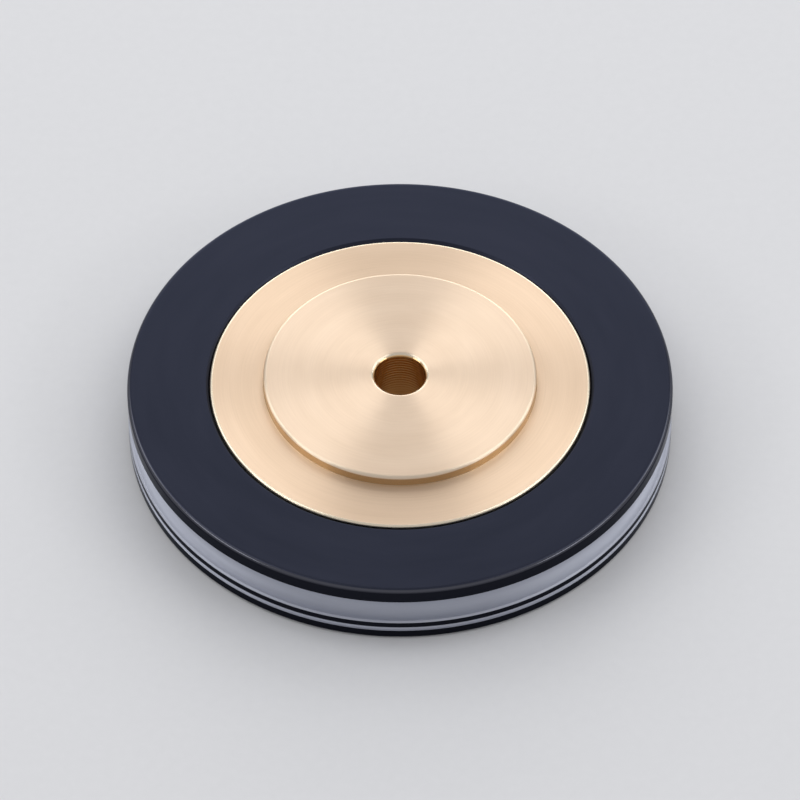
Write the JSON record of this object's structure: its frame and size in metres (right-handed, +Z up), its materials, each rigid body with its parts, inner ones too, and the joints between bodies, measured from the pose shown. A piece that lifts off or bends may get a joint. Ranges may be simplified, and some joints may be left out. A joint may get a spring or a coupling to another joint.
{
  "type": "record spindle adapter",
  "caption": "Low round black puck with a bright-cut finger groove round its side, a brass core with a raised centring boss, and a spindle bore through the middle.",
  "frame": {"origin": "centre of the flat face that the puck rests on", "axes": "+Z up along the spindle bore, from the face it rests on towards the boss"},
  "size_m": [0.076, 0.076, 0.0115],
  "materials": {
    "anodised_body": "satin blue-black anodising, with the finger groove and the trim line cut bright after it",
    "brass_core": "fine turned, with circular tool marks, lacquered"
  },
  "bodies": {
    "root": {"body": "anodised_body", "core": "brass_core"}
  },
  "joints": []
}
